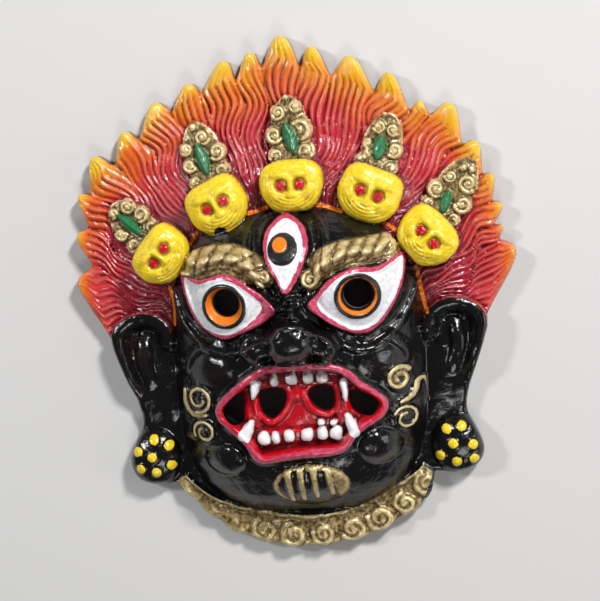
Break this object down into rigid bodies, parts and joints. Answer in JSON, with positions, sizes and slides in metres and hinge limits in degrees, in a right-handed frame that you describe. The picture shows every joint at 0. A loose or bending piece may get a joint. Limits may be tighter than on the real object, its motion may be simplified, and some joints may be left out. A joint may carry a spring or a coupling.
{
  "type": "metal wall mask",
  "caption": "Painted cast-metal wall mask of a traditional wrathful guardian with a flame crown, skull diadem, open fanged mouth and beard trim, hollow behind.",
  "frame": {"origin": "middle of the bounding box, on the flat back plane that the mask lies on", "axes": "+Z out of the face, +Y towards the top of the flame crown, +X towards the viewer's right"},
  "size_m": [0.1327, 0.155, 0.0367],
  "materials": {
    "painted_metal": "hand-painted gloss enamel over a rough casting: black face, red to yellow flames, yellow skulls, antique gold trim"
  },
  "bodies": {
    "root": {"mask": "painted_metal"}
  },
  "joints": []
}
